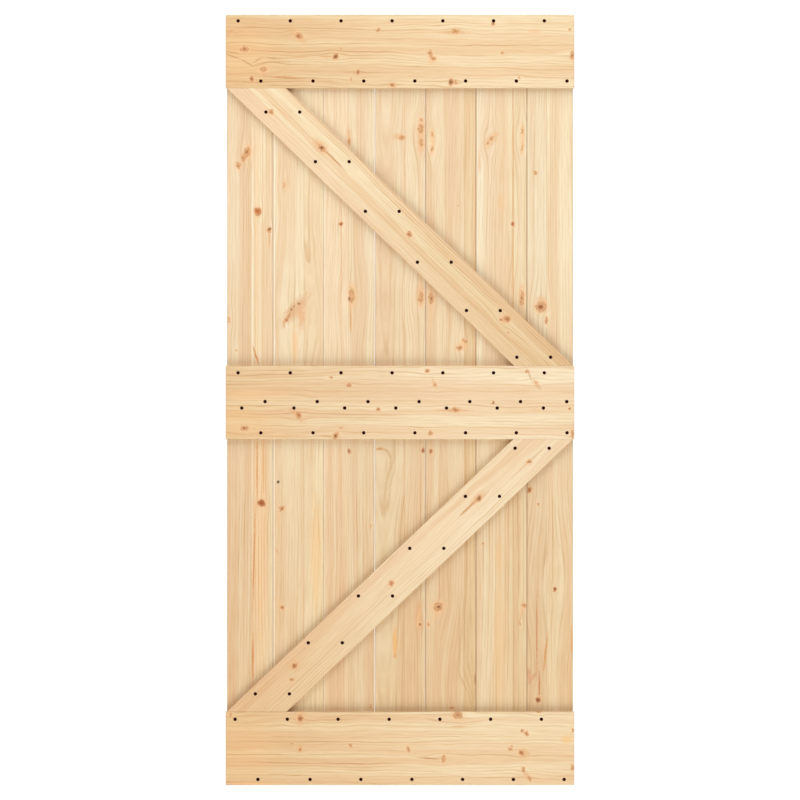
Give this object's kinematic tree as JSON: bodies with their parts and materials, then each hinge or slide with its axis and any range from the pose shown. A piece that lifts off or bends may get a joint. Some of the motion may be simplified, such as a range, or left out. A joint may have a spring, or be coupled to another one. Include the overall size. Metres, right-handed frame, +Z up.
{
  "type": "ledged and braced door leaf",
  "caption": "Softwood barn-style door leaf: upright boards held by flat rails and two diagonal braces in a K pattern, with rows of countersunk black screws.",
  "frame": {"origin": "middle of the top rail's front face, the face that hanging straps are bolted to, 2.0 m above the leaf's foot", "axes": "+Z up the leaf, +X across it to the right as seen from the front, -Y out of its front, so the rails and braces are on the -Y side and the boards behind them"},
  "size_m": [0.95, 0.035, 2.1],
  "materials": {
    "pine_boards": "planed, unfinished",
    "pine_rails": "planed, unfinished",
    "pine_braces": "planed, unfinished",
    "black_screws": "black phosphated"
  },
  "bodies": {
    "root": {"board_1": "pine_boards", "board_2": "pine_boards", "board_3": "pine_boards", "board_4": "pine_boards", "board_5": "pine_boards", "board_6": "pine_boards", "board_7": "pine_boards", "top_rail": "pine_rails", "middle_rail": "pine_rails", "bottom_rail": "pine_rails", "upper_brace": "pine_braces", "lower_brace": "pine_braces", "top_rail_screws": "black_screws", "middle_rail_screws": "black_screws", "bottom_rail_screws": "black_screws", "upper_brace_screws": "black_screws", "lower_brace_screws": "black_screws"}
  },
  "joints": []
}
